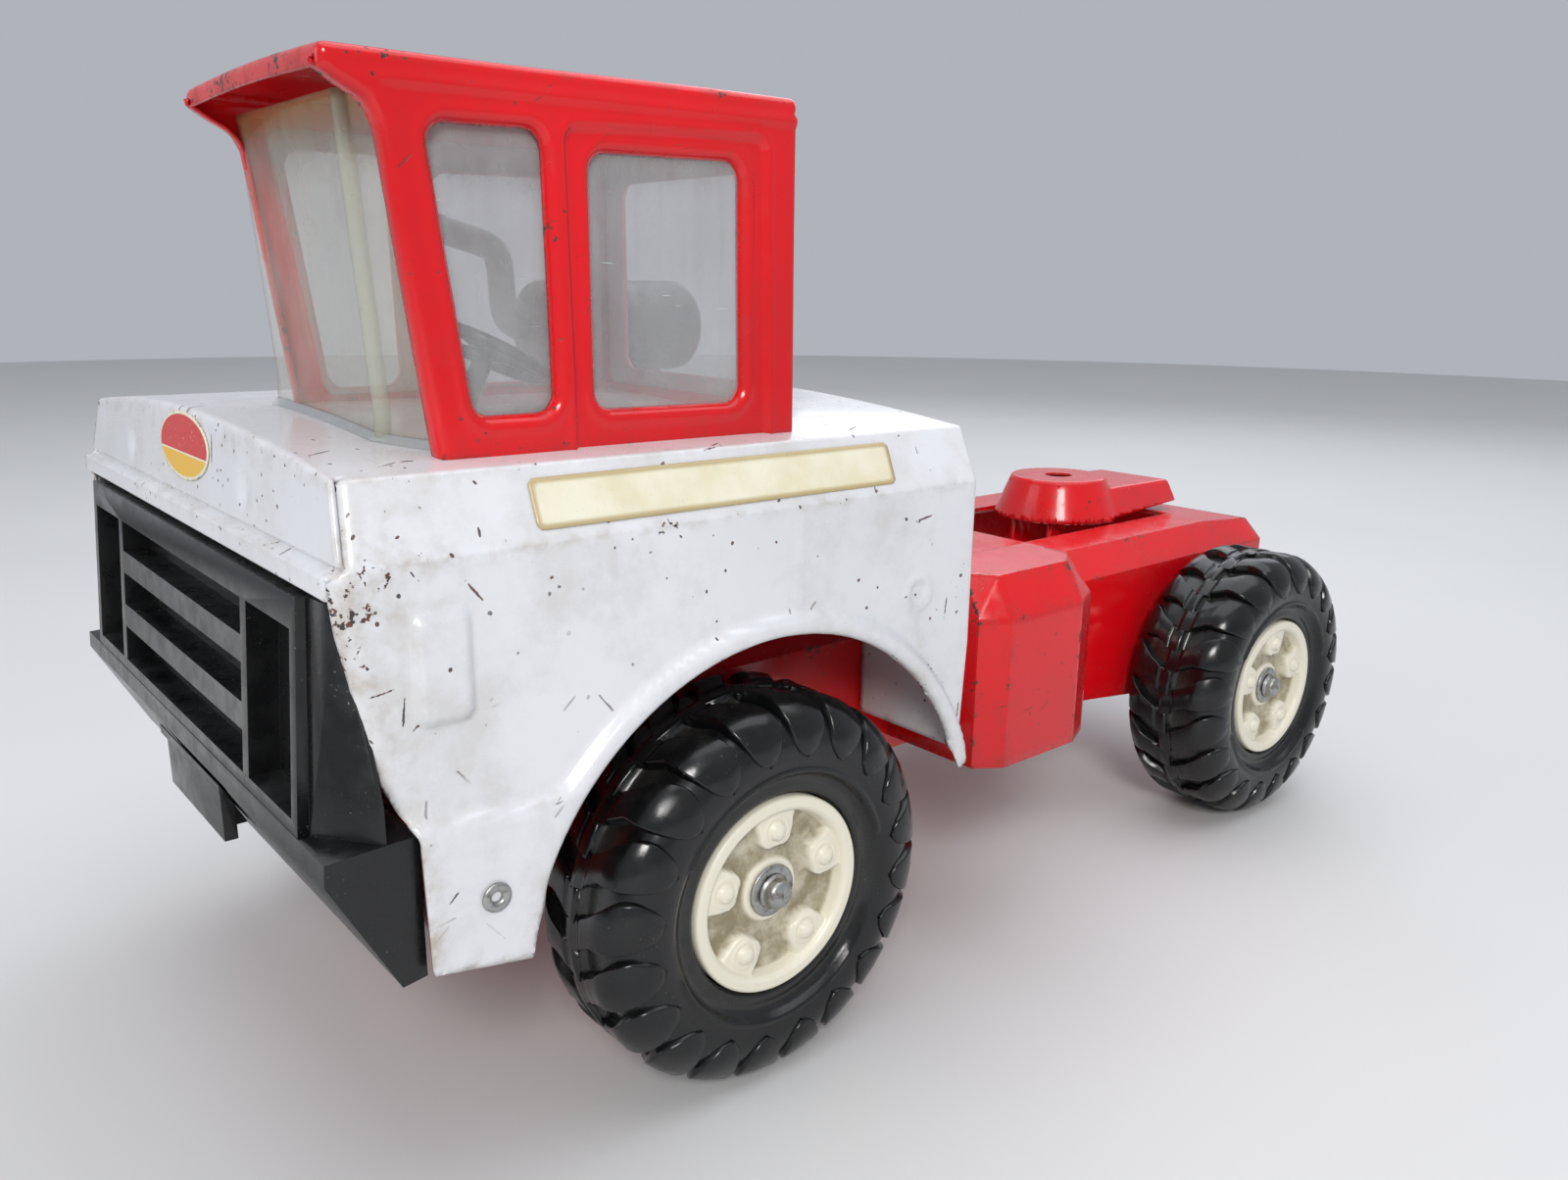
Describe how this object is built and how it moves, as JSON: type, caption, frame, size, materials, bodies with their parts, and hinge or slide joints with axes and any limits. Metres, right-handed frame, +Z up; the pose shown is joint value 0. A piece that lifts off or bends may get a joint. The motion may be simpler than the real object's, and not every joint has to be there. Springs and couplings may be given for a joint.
{
  "type": "toy semi tractor truck",
  "caption": "Pressed-steel toy semi tractor with a half-width cab on a broad hood, moulded grille bumper, open rear chassis, tilting coupling plate and free-rolling lugged wheels.",
  "frame": {"origin": "on the ground, under the middle of the bounding box", "axes": "+X forward to the bumper, +Y to the driver's left, +Z up"},
  "size_m": [0.436, 0.2148, 0.2548],
  "materials": {
    "white_enamel": "glossy enamel, chipped and scratched at the edges",
    "red_enamel": "glossy enamel, worn to grey metal on edges",
    "black_plastic": "satin moulded plastic with dust",
    "clear_plastic": "hazy, slightly yellowed clear moulding",
    "ivory_plastic": "satin ivory moulded plastic",
    "tyre_black": "soft glossy black vinyl",
    "bright_steel": "zinc-plated steel, dulled",
    "printed_label": "aged printed paper sticker, blank",
    "badge_print": "aged printed sticker, plain two-colour oval"
  },
  "bodies": {
    "truck": {"chassis_frame": "red_enamel", "saddle_tank_left": "red_enamel", "saddle_tank_right": "red_enamel", "body_shell": "white_enamel", "grille_bumper": "black_plastic", "plate_block": "black_plastic", "cab_shell": "red_enamel", "windshield": "clear_plastic", "side_window_left": "clear_plastic", "side_window_right": "clear_plastic", "rear_window": "clear_plastic", "steering_column": "black_plastic", "air_cleaner": "black_plastic", "intake_pipe": "black_plastic", "coupling_bracket": "red_enamel", "coupling_pin": "bright_steel", "front_axle": "bright_steel", "rear_axle": "bright_steel", "front_left_washer": "bright_steel", "front_left_axle_cap": "bright_steel", "front_right_washer": "bright_steel", "front_right_axle_cap": "bright_steel", "rear_left_washer": "bright_steel", "rear_left_axle_cap": "bright_steel", "rear_right_washer": "bright_steel", "rear_right_axle_cap": "bright_steel", "body_rivet_left": "bright_steel", "body_rivet_right": "bright_steel", "side_label_left": "printed_label", "side_label_right": "printed_label", "nose_badge": "badge_print"},
    "coupling": {"coupling_plate": "red_enamel"},
    "steering": {"steering_wheel": "black_plastic"},
    "front_left_wheel": {"front_left_tyre": "tyre_black", "front_left_hub": "ivory_plastic"},
    "front_right_wheel": {"front_right_tyre": "tyre_black", "front_right_hub": "ivory_plastic"},
    "rear_left_wheel": {"rear_left_tyre": "tyre_black", "rear_left_hub": "ivory_plastic"},
    "rear_right_wheel": {"rear_right_tyre": "tyre_black", "rear_right_hub": "ivory_plastic"}
  },
  "joints": [
    {"name": "front_left_wheel_spin", "type": "hinge", "parent": "truck", "child": "front_left_wheel", "pos_m": [0.1012, 0.0874, 0.054], "axis": [0, 1, 0], "continuous": true},
    {"name": "front_right_wheel_spin", "type": "hinge", "parent": "truck", "child": "front_right_wheel", "pos_m": [0.1012, -0.0874, 0.054], "axis": [0, 1, 0], "continuous": true},
    {"name": "rear_left_wheel_spin", "type": "hinge", "parent": "truck", "child": "rear_left_wheel", "pos_m": [-0.164, 0.0838, 0.054], "axis": [0, 1, 0], "continuous": true},
    {"name": "rear_right_wheel_spin", "type": "hinge", "parent": "truck", "child": "rear_right_wheel", "pos_m": [-0.164, -0.0838, 0.054], "axis": [0, 1, 0], "continuous": true},
    {"name": "coupling_tilt", "type": "hinge", "parent": "truck", "child": "coupling", "pos_m": [-0.1348, 0, 0.117], "axis": [0, 1, 0], "range_deg": [0, 12]},
    {"name": "steering_spin", "type": "hinge", "parent": "truck", "child": "steering", "pos_m": [0.1482, 0.045, 0.194], "axis": [-0.4695, 0, 0.8829], "continuous": true}
  ]
}
